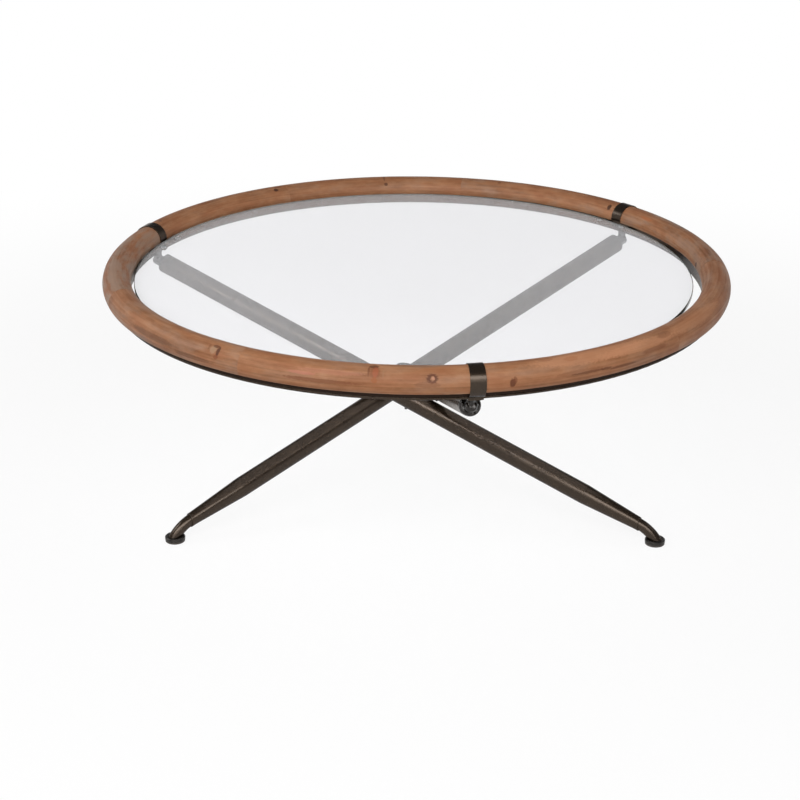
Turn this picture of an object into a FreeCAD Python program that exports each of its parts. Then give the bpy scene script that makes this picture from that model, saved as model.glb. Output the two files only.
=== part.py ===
import FreeCAD, Part
import math
import os

from FreeCAD import Placement, Rotation, Vector

# Round coffee table: a wooden ring on a metal hoop holds a loose glass disc, and three straight
# tube legs cross below it, each from one strap of the ring to a foot on the other side.
# Millimetres, +Z up. The origin is on the floor, under the middle of the ring.
# Leg 1 starts under the strap near the front; the others follow every 120 degrees.

# How often things repeat
thirds = 3
segments_per_third = 3
screws_per_segment = 2

# Wooden ring: a round bar bent into a circle, glued up from short curved pieces
ring_radius = 525.0
ring_height = 414.0
wood_dia = 50.0
planed_off = 0.6
ledge_drop = 13.5
ledge_inset = 0.5
strap_azimuth = -80.5
dowel_dia = 10.0
dowel_length = 40.0
dowel_play = 0.1

# Metal hoop: a rolled angle that carries the wood outside and the glass inside
hoop_tuck = 4.0
hoop_wall = 4.0
hoop_leg_height = 24.4
flange_width = 28.0
rebate_play = 0.3
hoop_edge_round = 0.8

# Straps over the joints of the wood
strap_width = 24.0
strap_thickness = 1.5
strap_play = 0.1
strap_tab_length = 11.0
strap_screw_spread = 14.0
strap_screw_inset = 5.0

# Small screws, all of one size, up through the flange into the wood
screw_dia = 4.0
screw_bite = 10.0
screw_head_dia = 7.6
screw_head_height = 2.2
ring_screw_inset = 14.0
pilot_play = 0.05

# Glass disc on round clear pads, which sit on tabs inside the hoop
glass_play = 13.3
glass_thickness = 8.0
glass_bevel = 1.0
glass_drop = 0.5
glass_shift = 5.2
pad_dia = 10.0
pad_height = 2.0
pad_inset = 5.5
tab_width = 15.0
tab_length = 24.0
tab_thickness = 3.0
tab_offset = 30.0
tab_corner = 3.0

# Legs: the middle of each tube's top end is given from its strap and the hoop, and the point
# where its axis passes over the foot from the strap, the ring and the neck's end
tube_dia = 35.0
tube_wall = 2.0
leg_top_inset = 1.2
leg_top_drop = 22.1
leg_top_turn = -0.3
foot_inset = 44.7
foot_turn = 170.5
foot_axis_rise = 11.8
tube_stop = 26.0
tube_grip = 12.0
taper_length = 114.0
tube_tip_dia = 23.6
tube_tip_trim = 0.5
tube_tip_round = 1.0

# Cap and hanger at the top of each leg
cap_thickness = 5.0
cap_edge_round = 3.5
cap_spigot = 15.0
cap_play = 0.1
stub_dia = 20.0
stub_length = 19.0
stub_round = 4.0
upright_dia = 14.0
upright_place = 12.0
hanger_screw_dia = 6.0
hanger_screw_bite = 12.0
hanger_screw_play = 0.1
hanger_head_dia = 10.5
hanger_head_height = 3.3
hanger_key = 4.0
hanger_key_depth = 2.0
pocket_play = 1.0

# Neck and levelling foot at the bottom of each leg
neck_dia = 20.0
neck_shank = 40.0
glide_inset = 0.5
glide_height = 4.0
glide_bevel = 0.8
cup_dia = 35.0
cup_height = 6.0
cup_bevel = 1.8
cup_bevel_height = 1.5
dish_rim = 0.7
dish_depth = 1.4
neck_gap = 0.4
stud_dia = 6.0
stud_play = 0.05
stud_end_gap = 0.4
stud_engaged = 8.0

# Hub plate that ties the three legs together where they pass the middle
hub_thickness = 4.0
hub_corner = 12.0
hub_lift = 7.0
hub_bolt_dia = 5.0
hub_bolt_play = 0.1
hub_head_dia = 9.5
hub_head_height = 2.8
hub_key = 3.0
hub_key_depth = 1.6
spacer_dia = 14.0
hub_bolt_tail = 5.0
hub_bolt_tip_round = 1.0

# How much of a button head's height is rounded
head_round_share = 0.75

# Room that a cut runs past what it cuts
overrun = 5.0

up = Vector(0, 0, 1)
origin = Vector(0, 0, 0)
third_turn = 360.0 / thirds
wood_radius = wood_dia / 2
tube_radius = tube_dia / 2
seat_depth = wood_radius - planed_off
flange_top = ring_height - seat_depth
flange_bottom = flange_top - hoop_wall
hoop_top = flange_bottom + hoop_leg_height
hoop_inner_radius = ring_radius - wood_radius + hoop_tuck
hoop_outer_radius = hoop_inner_radius + flange_width
glass_radius = hoop_inner_radius - glass_play
glass_top = ring_height - glass_drop
glass_bottom = glass_top - glass_thickness
tab_top = glass_bottom - pad_height
cup_top = glide_height + cup_height
neck_floor = cup_top - dish_depth + neck_gap


def place(radius, azimuth, height):
    """A point given by its distance from the table's axis, its azimuth in degrees and its height."""
    angle = math.radians(azimuth)
    return Vector(radius * math.cos(angle), radius * math.sin(angle), height)


def turned(shape, degrees):
    """A copy of a shape, turned about the table's upright axis."""
    copy = shape.copy()
    copy.rotate(origin, up, degrees)
    return copy


def save(node, *solids):
    """Write one node, alone or as a group of separate solids."""
    shape = solids[0] if len(solids) == 1 else Part.makeCompound(list(solids))
    shape.exportStep(os.path.join("parts", node + ".step"))


def save_thirds(node, shape):
    """Write the same piece once for each third of the table."""
    for third in range(thirds):
        save("%s_%d" % (node, third + 1), turned(shape, third * third_turn))


def rod(start, end, diameter):
    """A round bar between two points."""
    along = end - start
    return Part.makeCylinder(diameter / 2, along.Length, start, along)


def face_of(edges):
    return Part.Face(Part.Wire(edges))


def polygon_face(points):
    return Part.Face(Part.makePolygon(points + [points[0]]))


def line(first, second):
    return Part.LineSegment(first, second).toShape()


def arc(first, middle, last):
    return Part.Arc(first, middle, last).toShape()


def swept(face, azimuth, span):
    """A section in the XZ plane, swept about the table's axis from one azimuth."""
    return turned(face.revolve(origin, up, span), azimuth)


def section_point(radius, degrees):
    """A point round the middle of the wood's section, 0 outwards and 90 up, in the XZ plane."""
    angle = math.radians(degrees)
    return Vector(ring_radius + radius * math.cos(angle), 0, ring_height + radius * math.sin(angle))


# Wooden ring

def wood_section():
    """Round bar: planed flat below, rebated inside for the hoop and outside for a shadow line."""
    rebate_side = hoop_inner_radius + hoop_wall + rebate_play
    rebate_roof = hoop_top + rebate_play
    ledge_side = hoop_outer_radius - ledge_inset
    ledge_roof = ring_height - ledge_drop
    side_drop = math.sqrt(wood_radius ** 2 - (ring_radius - rebate_side) ** 2)
    flat_half = math.sqrt(wood_radius ** 2 - seat_depth ** 2)
    ledge_angle = -math.degrees(math.asin(ledge_drop / wood_radius))
    roof_angle = 180 + math.degrees(math.asin((ring_height - rebate_roof) / wood_radius))
    side_angle = 180 + math.degrees(math.atan2(side_drop, ring_radius - rebate_side))
    flat_angle = 180 + math.degrees(math.atan2(seat_depth, flat_half))
    lip = section_point(wood_radius, ledge_angle)
    roof = section_point(wood_radius, roof_angle)
    side = section_point(wood_radius, side_angle)
    flat_in = section_point(wood_radius, flat_angle)
    ledge_corner = Vector(ledge_side, 0, ledge_roof)
    flat_out = Vector(ledge_side, 0, flange_top)
    corner = Vector(rebate_side, 0, rebate_roof)
    return face_of([
        line(flat_in, flat_out),
        line(flat_out, ledge_corner),
        line(ledge_corner, lip),
        arc(lip, section_point(wood_radius, (ledge_angle + roof_angle) / 2), roof),
        line(roof, corner),
        line(corner, side),
        arc(side, section_point(wood_radius, (side_angle + flat_angle) / 2), flat_in)])


segment_span = third_turn / segments_per_third
segment_count = thirds * segments_per_third


def joint_dowel(azimuth, play):
    """The dowel, or with play its hole, across one joint of the wood."""
    middle = place(ring_radius, azimuth, ring_height)
    along = place(1, azimuth + 90, 0)
    half = along * (dowel_length / 2 + play)
    return rod(middle - half, middle + half, dowel_dia + 2 * play)


def strap_screw_places():
    """Azimuths and radius of the two screws in the first strap's tab."""
    radius = hoop_outer_radius - strap_screw_inset
    swing = math.degrees(strap_screw_spread / 2 / radius)
    return [(radius, strap_azimuth - swing), (radius, strap_azimuth + swing)]


def ring_screw_places():
    """Azimuths and radius of the screws along one third of the hoop."""
    spacing = segment_span / screws_per_segment
    count = segments_per_third * screws_per_segment
    radius = hoop_outer_radius - ring_screw_inset
    return [(radius, strap_azimuth + (number + 1 / 2) * spacing) for number in range(count)]


def small_screw(radius, azimuth, seat, play=0):
    """A round-headed wood screw, driven up from its seat."""
    tip = flange_top + screw_bite + play
    shank = rod(place(radius, azimuth, seat), place(radius, azimuth, tip), screw_dia + 2 * play)
    if play:
        return shank
    head = Part.makeCylinder(screw_head_dia / 2, screw_head_height,
                             place(radius, azimuth, seat), Vector(0, 0, -1))
    crown = [edge for edge in head.Edges if edge.CenterOfMass.z < seat - screw_head_height / 2
             and abs(edge.Length - math.pi * screw_head_dia) < screw_dia]
    return shank.fuse(head.makeFillet(screw_head_height / 2, crown)).removeSplitter().Solids[0]


# Legs

leg_top = place(hoop_inner_radius - leg_top_inset, strap_azimuth + leg_top_turn,
                flange_bottom - leg_top_drop)
leg_foot = place(ring_radius - foot_inset, strap_azimuth + foot_turn, neck_floor + foot_axis_rise)
leg_length = (leg_top - leg_foot).Length
leg_way = (leg_top - leg_foot) / leg_length
leg_slope = math.asin(leg_way.z)
leg_plan = Vector(leg_way.x, leg_way.y, 0) / math.cos(leg_slope)
leg_place = Placement(leg_foot, Rotation(up, leg_way))


def on_leg(distance):
    """A point on the first leg's axis, measured from over its foot."""
    return leg_foot + leg_way * distance


# The leg passes nearest to the table's axis here
hub_distance = -(leg_foot.x * leg_plan.x + leg_foot.y * leg_plan.y) / math.cos(leg_slope)
hub_point = on_leg(hub_distance)
hub_radius = math.hypot(hub_point.x, hub_point.y)
tube_rise = tube_radius / math.cos(leg_slope)
hub_floor = hub_point.z + tube_rise + hub_lift

hanger_point = leg_top + leg_way * upright_place


def tapered_bar(radius, tip_radius):
    """A bar about the leg's axis, tapered towards its lower end."""
    tip = tube_stop
    full = tube_stop + taper_length
    top = leg_length - cap_thickness
    points = [(0, tip), (tip_radius, tip), (tip_radius, tip + tube_grip), (radius, full), (radius, top),
              (0, top)]
    return polygon_face([Vector(x, 0, z) for x, z in points]).revolve(origin, up, 360)


def leg_solid():
    """The outside of the tube, filled, with its lower end cut upright and rounded."""
    solid = tapered_bar(tube_radius, tube_tip_dia / 2)
    solid.Placement = leg_place
    tip_radius = tube_tip_dia / 2
    end = tube_stop * math.cos(leg_slope) + tip_radius * math.sin(leg_slope) + tube_tip_trim
    cut_from = leg_foot + leg_plan * (end - tube_dia)
    cut_to = leg_foot + leg_plan * end
    solid = solid.cut(rod(cut_from, cut_to, 2 * tube_dia)).Solids[0]
    rim = [edge for edge in solid.Edges
           if abs((edge.CenterOfMass - cut_to).dot(leg_plan)) < tube_tip_trim / 2]
    return solid.makeFillet(tube_tip_round, rim)


def upright_rod(low, high, diameter, at=hub_point):
    return rod(Vector(at.x, at.y, low), Vector(at.x, at.y, high), diameter)


leg_body = leg_solid()
leg_inside = tapered_bar(tube_radius - tube_wall, neck_dia / 2)
leg_inside.Placement = leg_place
bolt_hole = upright_rod(hub_point.z - tube_dia, hub_point.z + tube_dia, hub_bolt_dia + 2 * hub_bolt_play)


def leg_tube():
    """A drawn tube, bored for its neck and its bolt."""
    return leg_body.cut([leg_inside, neck_bar(), bolt_hole]).Solids[0]


def leg_cap():
    """A turned plug with a rounded rim, flush with the tube."""
    disc = Part.makeCylinder(tube_radius, cap_thickness, Vector(0, 0, leg_length - cap_thickness))
    rim = [edge for edge in disc.Edges if abs(edge.CenterOfMass.z - leg_length) < cap_thickness / 2
           and edge.Curve.TypeId == "Part::GeomCircle"]
    spigot_radius = tube_radius - tube_wall - cap_play
    spigot = Part.makeCylinder(spigot_radius, cap_spigot,
                               Vector(0, 0, leg_length - cap_thickness - cap_spigot))
    cap = disc.makeFillet(cap_edge_round, rim).fuse(spigot).removeSplitter().Solids[0]
    cap.Placement = leg_place
    return cap


def leg_hanger():
    """A stub on the cap and a post that stands up to the hoop's flange."""
    stub = Part.makeCylinder(stub_dia / 2, stub_length, Vector(0, 0, leg_length))
    rim = [edge for edge in stub.Edges if edge.CenterOfMass.z > leg_length + stub_length - stub_round
           and edge.Curve.TypeId == "Part::GeomCircle"]
    stub = stub.makeFillet(stub_round, rim)
    stub.Placement = leg_place
    post = upright_rod(hanger_point.z, flange_bottom, upright_dia, hanger_point)
    hole = upright_rod(flange_bottom - hanger_screw_bite - hanger_screw_play, flange_bottom + overrun,
                       hanger_screw_dia + 2 * hanger_screw_play, hanger_point)
    return stub.fuse(post).removeSplitter().cut(hole).Solids[0]


def button_screw(point, seat, tip, shank_dia, head_dia, head_height, key, key_depth):
    """A button-headed screw that points down, with a hexagonal key hole."""
    crown_height = seat + head_height
    head = Part.makeCylinder(head_dia / 2, head_height, Vector(point.x, point.y, seat))
    rim = [edge for edge in head.Edges if abs(edge.CenterOfMass.z - crown_height) < head_height / 2
           and edge.Curve.TypeId == "Part::GeomCircle"]
    head = head.makeFillet(head_height * head_round_share, rim)
    corner = key / 2 / math.cos(math.radians(30))
    points = [Vector(point.x + corner * math.cos(math.radians(60 * side)),
                     point.y + corner * math.sin(math.radians(60 * side)),
                     crown_height - key_depth) for side in range(6)]
    socket = polygon_face(points).extrude(Vector(0, 0, key_depth + overrun))
    shank = upright_rod(tip, seat, shank_dia, point)
    return head.cut(socket).fuse(shank).removeSplitter().Solids[0]


def hanger_screw():
    return button_screw(hanger_point, flange_top, flange_bottom - hanger_screw_bite, hanger_screw_dia,
                        hanger_head_dia, hanger_head_height, hanger_key, hanger_key_depth)


# Ring pieces, which need the places of the legs' screws

def screw_pocket():
    """Room in the wood for the head of the first hanger's screw."""
    return upright_rod(flange_top - overrun, flange_top + hanger_head_height + pocket_play,
                       hanger_head_dia + 2 * pocket_play, hanger_point)


def wood_segments():
    section = wood_section()
    pockets = [turned(screw_pocket(), third * third_turn) for third in range(thirds)]
    pilots = [small_screw(radius, azimuth + third * third_turn, flange_bottom, pilot_play)
              for third in range(thirds)
              for radius, azimuth in strap_screw_places() + ring_screw_places()]
    for number in range(segment_count):
        start = strap_azimuth + number * segment_span
        segment = swept(section, start, segment_span)
        ends = [joint_dowel(start, dowel_play), joint_dowel(start + segment_span, dowel_play)]
        tools = [tool for tool in ends + pockets + pilots
                 if tool.BoundBox.intersect(segment.BoundBox)]
        save("wood_segment_%d" % (number + 1), segment.cut(tools).Solids[0])


def ring_dowels():
    save("ring_dowels", *[joint_dowel(strap_azimuth + number * segment_span, 0)
                          for number in range(segment_count)])


def hoop():
    """One rolled angle: an upright leg inside the wood and a flange under it, with all its holes."""
    inner = hoop_inner_radius
    wall = hoop_inner_radius + hoop_wall
    points = [(inner, flange_bottom), (hoop_outer_radius, flange_bottom), (hoop_outer_radius, flange_top),
              (wall, flange_top), (wall, hoop_top), (inner, hoop_top)]
    ring = polygon_face([Vector(x, 0, z) for x, z in points]).revolve(origin, up, 360)
    edges = [edge for edge in ring.Edges if edge.Curve.TypeId == "Part::GeomCircle"
             and not (abs(edge.Curve.Radius - wall) < hoop_edge_round
                      and abs(edge.Curve.Center.z - flange_top) < hoop_edge_round)]
    ring = ring.makeFillet(hoop_edge_round, edges)
    holes = [small_screw(radius, azimuth + third * third_turn, flange_bottom - overrun, pilot_play)
             for third in range(thirds)
             for radius, azimuth in strap_screw_places() + ring_screw_places()]
    hanger_hole = upright_rod(flange_bottom - overrun, flange_top + overrun,
                              hanger_screw_dia + 2 * hanger_screw_play, hanger_point)
    holes += [turned(hanger_hole, third * third_turn) for third in range(thirds)]
    return ring.cut(holes).Solids[0]


def strap():
    """A flat strap round the wood, from the hoop's leg to a tab screwed under its flange."""
    inner = wood_radius + strap_play
    outer = inner + strap_thickness
    start = 180 + math.degrees(math.asin((ring_height - hoop_top) / inner))
    edge_in = hoop_outer_radius + strap_play - ring_radius
    edge_out = edge_in + strap_thickness
    end_in = -math.degrees(math.acos(edge_in / inner))
    end_out = -math.degrees(math.acos(edge_out / outer))
    tab_roof = flange_bottom
    tab_floor = tab_roof - strap_thickness
    tab_end = ring_radius + edge_out - strap_tab_length
    first = section_point(inner, start)
    second = section_point(outer, start)
    third = section_point(outer, end_out)
    last = section_point(inner, end_in)
    heel = Vector(ring_radius + edge_out, 0, tab_floor)
    toe = Vector(tab_end, 0, tab_floor)
    toe_roof = Vector(tab_end, 0, tab_roof)
    knee = Vector(ring_radius + edge_in, 0, tab_roof)
    face = face_of([
        line(first, second), arc(second, section_point(outer, (start + end_out) / 2), third),
        line(third, heel), line(heel, toe), line(toe, toe_roof), line(toe_roof, knee),
        line(knee, last), arc(last, section_point(inner, (start + end_in) / 2), first)])
    span = math.degrees(strap_width / ring_radius)
    band = swept(face, strap_azimuth - span / 2, span)
    holes = [small_screw(radius, azimuth, tab_floor - overrun, pilot_play)
             for radius, azimuth in strap_screw_places()]
    return band.cut(holes).Solids[0]


def ring_fasteners():
    straps, rings, hangers = [], [], []
    for third in range(thirds):
        turn = third * third_turn
        straps += [small_screw(radius, azimuth + turn, flange_bottom - strap_thickness)
                   for radius, azimuth in strap_screw_places()]
        rings += [small_screw(radius, azimuth + turn, flange_bottom)
                  for radius, azimuth in ring_screw_places()]
        hangers.append(turned(hanger_screw(), turn))
    save("strap_screws", *straps)
    save("ring_screws", *rings)
    save("hanger_screws", *hangers)


# Glass and what carries it

def glass_tab():
    """A flat tab along +X with rounded inner corners, its outer end fitted to the inside of the hoop."""
    inner = hoop_inner_radius - tab_length
    block = Part.makeBox(tab_length + hoop_wall, tab_width, tab_thickness,
                         Vector(inner, -tab_width / 2, tab_top - tab_thickness))
    corners = [edge for edge in block.Edges if abs(edge.CenterOfMass.x - inner) < tab_thickness / 2
               and edge.tangentAt(edge.FirstParameter).z ** 2 > 1 / 2]
    reach = Part.makeCylinder(hoop_inner_radius, tab_thickness, Vector(0, 0, tab_top - tab_thickness))
    return block.makeFillet(tab_corner, corners).common(reach).Solids[0]


def glass_pad():
    """A round pad on a tab, close to the tab's free end."""
    place_on_tab = Vector(hoop_inner_radius - tab_length + pad_inset, 0, tab_top)
    return Part.makeCylinder(pad_dia / 2, pad_height, place_on_tab)


def glass_supports():
    swing = math.degrees(tab_offset / hoop_inner_radius)
    places = [strap_azimuth + third * third_turn + side * swing
              for third in range(thirds) for side in (-1, 1)]
    for number, azimuth in enumerate(places):
        save("glass_tab_%d" % (number + 1), turned(glass_tab(), azimuth))
    save("glass_pads", *[turned(glass_pad(), azimuth) for azimuth in places])


def glass_disc():
    """The loose disc, lying a little off centre as it does in use."""
    disc = Part.makeCylinder(glass_radius, glass_thickness, Vector(-glass_shift, 0, glass_bottom))
    rims = [edge for edge in disc.Edges if edge.Curve.TypeId == "Part::GeomCircle"]
    return disc.makeChamfer(glass_bevel, rims)


# Neck and levelling foot

def neck_bar():
    """A bar in the tube's tip that bends down from where the tube's upper side ends."""
    bend_from = tube_stop + tube_tip_dia * math.tan(leg_slope)
    start = on_leg(bend_from)
    run = bend_from * math.cos(leg_slope)
    drop = start.z - neck_floor
    end_slope = 2 * math.atan2(drop, run) - leg_slope
    bend = math.hypot(run, drop) / (2 * math.sin((end_slope - leg_slope) / 2))
    centre = start + leg_plan * (bend * math.sin(leg_slope)) - up * (bend * math.cos(leg_slope))
    circle = Part.Face(Part.Wire(Part.makeCircle(neck_dia / 2, start, leg_way)))
    past_end = math.degrees(neck_dia / bend)
    turn = math.degrees(end_slope - leg_slope) + past_end
    curve = circle.revolve(centre, leg_plan.cross(up), turn)
    shank = rod(start, on_leg(bend_from + neck_shank), neck_dia)
    return shank.fuse(curve).removeSplitter()


def leg_neck():
    """The bar, cut flat above the cup and drilled for the foot's stud."""
    reach = tube_stop + neck_shank + neck_dia
    ground = Part.makeBox(2 * reach, 2 * reach, reach,
                          Vector(leg_foot.x - reach, leg_foot.y - reach, neck_floor - reach))
    hole = upright_rod(neck_floor - overrun, neck_floor + stud_engaged + stud_end_gap,
                       stud_dia + 2 * stud_play, leg_foot)
    return neck_bar().cut(ground).cut(hole).Solids[0]


def spun(points):
    """A solid turned about the first foot's upright axis, from radius and height pairs."""
    face = polygon_face([Vector(radius, 0, height) for radius, height in points])
    solid = face.revolve(origin, up, 360)
    solid.translate(Vector(leg_foot.x, leg_foot.y, 0))
    return solid


def foot_cup():
    bore = stud_dia / 2 + stud_play
    rim = cup_dia / 2
    lip = rim - cup_bevel
    dish = lip - dish_rim
    return spun([(bore, glide_height), (rim, glide_height), (rim, cup_top - cup_bevel_height),
                 (lip, cup_top), (dish, cup_top), (dish - dish_depth, cup_top - dish_depth),
                 (bore, cup_top - dish_depth)])


def foot_glide():
    edge = cup_dia / 2 - glide_inset
    return spun([(0, 0), (edge - glide_bevel, 0), (edge, glide_bevel), (edge, glide_height),
                 (0, glide_height)])


def foot_stud():
    return upright_rod(glide_height + stud_end_gap, neck_floor + stud_engaged, stud_dia, leg_foot)


# Hub plate and its bolts

def hub_plate():
    """A three-cornered plate, rounded about its three bolts."""
    bolts = [turned(Part.Vertex(hub_point), third * third_turn).Point for third in range(thirds)]
    bolts = [Vector(bolt.x, bolt.y, hub_floor) for bolt in bolts]
    edges = []
    for number, bolt in enumerate(bolts):
        after = bolts[(number + 1) % thirds]
        before = bolts[number - 1]
        way_in = (bolt - before).normalize()
        way_out = (after - bolt).normalize()
        left = bolt + way_in.cross(up) * hub_corner
        right = bolt + way_out.cross(up) * hub_corner
        outward = Vector(bolt.x, bolt.y, 0).normalize()
        edges.append(arc(left, bolt + outward * hub_corner, right))
        edges.append(line(right, after + way_out.cross(up) * hub_corner))
    plate = face_of(edges).extrude(Vector(0, 0, hub_thickness))
    hole = upright_rod(hub_floor - overrun, hub_floor + hub_thickness + overrun,
                       hub_bolt_dia + 2 * hub_bolt_play)
    return plate.cut([turned(hole, third * third_turn) for third in range(thirds)]).Solids[0]


def hub_spacer():
    """A short sleeve between tube and plate, its lower end fitted to the tube."""
    sleeve = upright_rod(hub_point.z, hub_floor, spacer_dia)
    return sleeve.cut([leg_body, bolt_hole]).Solids[0]


def hub_bolt():
    """A bolt down through plate, sleeve and tube, whose bare end stands out below."""
    tip = hub_point.z - tube_rise - hub_bolt_tail
    bolt = button_screw(hub_point, hub_floor + hub_thickness, tip, hub_bolt_dia, hub_head_dia,
                        hub_head_height, hub_key, hub_key_depth)
    rim = [edge for edge in bolt.Edges if edge.Curve.TypeId == "Part::GeomCircle"
           and abs(edge.Curve.Center.z - tip) < hub_bolt_tip_round]
    return bolt.makeFillet(hub_bolt_tip_round, rim)


def hub():
    save("hub_plate", hub_plate())
    save_thirds("hub_spacer", hub_spacer())
    save("hub_bolts", *[turned(hub_bolt(), third * third_turn) for third in range(thirds)])


def main():
    os.makedirs("parts", exist_ok=True)
    wood_segments()
    ring_dowels()
    save("hoop", hoop())
    save_thirds("strap", strap())
    ring_fasteners()
    glass_supports()
    save("glass_disc", glass_disc())
    save_thirds("leg_tube", leg_tube())
    save_thirds("leg_cap", leg_cap())
    save_thirds("leg_hanger", leg_hanger())
    save_thirds("leg_neck", leg_neck())
    save_thirds("foot_cup", foot_cup())
    save_thirds("foot_glide", foot_glide())
    save_thirds("foot_stud", foot_stud())
    hub()
    print("leg length %.1f, slope %.2f degrees, nearest the middle at radius %.1f, height %.1f"
          % (leg_length, math.degrees(leg_slope), hub_radius, hub_point.z))


main()
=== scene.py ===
import math

import bpy
from mathutils import Matrix, Vector


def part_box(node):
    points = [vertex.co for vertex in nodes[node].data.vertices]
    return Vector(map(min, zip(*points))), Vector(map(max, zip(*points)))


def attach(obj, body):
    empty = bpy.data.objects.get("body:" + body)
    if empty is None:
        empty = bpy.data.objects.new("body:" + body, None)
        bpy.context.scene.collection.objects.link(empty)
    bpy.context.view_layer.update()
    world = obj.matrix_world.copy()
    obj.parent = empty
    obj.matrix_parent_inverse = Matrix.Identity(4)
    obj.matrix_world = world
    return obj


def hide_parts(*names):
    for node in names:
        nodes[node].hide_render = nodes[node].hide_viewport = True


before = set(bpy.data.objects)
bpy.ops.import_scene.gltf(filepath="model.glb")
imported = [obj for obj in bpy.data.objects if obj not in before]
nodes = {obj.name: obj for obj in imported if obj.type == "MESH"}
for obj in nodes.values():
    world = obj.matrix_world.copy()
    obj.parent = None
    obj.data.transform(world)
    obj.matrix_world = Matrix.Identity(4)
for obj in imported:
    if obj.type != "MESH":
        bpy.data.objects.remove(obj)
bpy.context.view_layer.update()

# Dresses a round coffee table: a bent wooden ring on a metal hoop with a loose glass disc,
# on three crossed tube legs with levelling feet. Metres, +Z up, the same frame as the solids.

bl_info = {
    "name": "Round coffee table",
    "version": (1, 0, 0),
    "blender": (4, 5, 0),
    "location": "View3D > Sidebar > Table",
    "description": "Wooden ring, glass disc and crossed tube legs of a round coffee table",
    "category": "Object",
}

leg_count = 3
tab_count = 2 * leg_count
segment_count = 9
segment_span = math.tau / segment_count
strap_azimuth = math.radians(-80.5)
millimetre = 0.001
glass_index = 1.5
white = (1, 1, 1, 1)


def tone(red, green, blue):
    """A colour written in steps of 255, as the shaders take it."""
    parts = []
    for step in (red, green, blue):
        part = step / 255
        parts.append(part / 12.92 if part <= 0.04045 else ((part + 0.055) / 1.055) ** 2.4)
    return (*parts, 1.0)


def length(name, description, default):
    return bpy.props.FloatProperty(name=name, description=description, default=default, unit="LENGTH",
                                   precision=4)


def share(name, description, default):
    return bpy.props.FloatProperty(name=name, description=description, default=default, min=0, max=1,
                                   subtype="FACTOR")


def colour(name, description, default):
    return bpy.props.FloatVectorProperty(name=name, description=description, default=default, size=4,
                                         min=0, max=1, subtype="COLOR")


# Sizes and colours that a user would change

class RingSettings(bpy.types.PropertyGroup):
    radius: length("Ring radius", "From the table's middle to the middle of the bar", 0.525)
    height: length("Ring height", "From the floor to the middle of the bar", 0.414)
    bar_radius: length("Bar radius", "Half the thickness of the round bar", 0.025)
    flat_drop: length("Flat", "From the middle of the bar down to its planed flat", 0.0244)
    ledge_drop: length("Ledge drop", "From the middle of the bar down to the outer ledge", 0.0135)
    ledge_side: length("Ledge side", "From the bar's middle out to the face under the ledge", 0.0065)
    corner: length("Corner", "How far the planed corners are eased", 0.0006)
    rebate_drop: length("Rebate drop", "From the middle of the bar down to the inner rebate", 0.0037)
    rebate_side: length("Rebate side", "From the middle of the bar in to the rebate's face", 0.0167)
    joint_round: length("Joint rounding", "How far the bar is eased at the ends of a segment", 0.00035)
    joint_width: length("Joint width", "How far from a joint the easing starts", 0.0013)
    waver: length("Waver", "How far the sanding left the bar under its size", 0.00025)
    steps: bpy.props.IntProperty(name="Steps", description="Rows of faces along a segment", default=110)
    year: length("Year", "Width of one year's growth in the wood", 0.0046)
    light: colour("Light wood", "Early wood, between the darker lines", tone(164, 117, 84))
    dark: colour("Dark wood", "Late wood, the darker lines of the grain", tone(112, 72, 46))
    # Greying from wear and wax, and on the left-hand board also partly painted sheen, where the light
    # grazes the wood.
    grey: colour("Greyed wood", "Where wear and wax have greyed the surface", tone(146, 121, 104))
    # Painted shade: this dark brown stands in for the shade in the rebate and under the ledge, next to
    # the metal. It is not a stain.
    rebate_painted_shade: colour("Shaded wood", "Stained wood in the rebates, next to the metal", tone(46, 31, 21))


class MetalSettings(bpy.types.PropertyGroup):
    bronze: colour("Bronze", "Dark bronze of the hoop, straps and legs", tone(56, 46, 37))
    bronze_worn: colour("Worn bronze", "Where the finish is rubbed thin", tone(98, 82, 66))
    cast: colour("Cast bronze", "Caps and hangers at the tubes' upper ends", tone(20, 16, 14))
    tint: colour("Tint", "Colour of the bronze's sheen at low angles", tone(150, 134, 120))
    steel: colour("Blackened steel", "Screws, bolts, studs and feet", tone(62, 59, 56))
    steel_dark: colour("Dark steel", "Where the blackening is thicker", tone(44, 42, 40))
    roughness: share("Roughness", "Of the bronze", 0.27)
    edge: length("Edge", "How far the edges look rounded", 0.0012)


class GlassSettings(bpy.types.PropertyGroup):
    clear: colour("Glass", "What is left of light that passes one face", tone(250, 250, 251))
    veil: colour("Veil", "Pale sheen that the faces send back", tone(247, 247, 248))
    edge: colour("Edge", "The edge of the disc, where light runs through its whole width",
                 tone(46, 58, 53))
    mirror: share("Mirror", "How much of the sheen is a clear reflection", 0.22)
    sheen: bpy.props.FloatProperty(name="Sheen", description="How strong the sheen is at low angles",
                                   default=2.5, min=0, max=6)


class FootSettings(bpy.types.PropertyGroup):
    pitch: length("Thread pitch", "Rise of the thread for one turn", 0.001)
    thread_depth: length("Thread depth", "From crest to root", 0.00055)
    rows: bpy.props.IntProperty(name="Rows", description="Rows of faces for one pitch", default=8)
    around: bpy.props.IntProperty(name="Around", description="Faces round the stud", default=48)


class StageSettings(bpy.types.PropertyGroup):
    floor_size: length("Floor size", "Length of each side of the floor", 40.0)
    floor: colour("Floor", "Colour of the floor where it lights the table", tone(186, 186, 186))
    floor_seen: colour("Seen floor", "Colour of the floor where it is looked at", tone(236, 236, 236))
    fill: share("Fill", "Strength of the soft light from all sides", 0.26)
    ceiling: share("Ceiling", "How bright a mirror sees what is overhead", 0.18)
    lens: bpy.props.FloatProperty(name="Lens", description="Focal length of the camera", default=86.16,
                                  unit="CAMERA")


# Nodes

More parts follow.
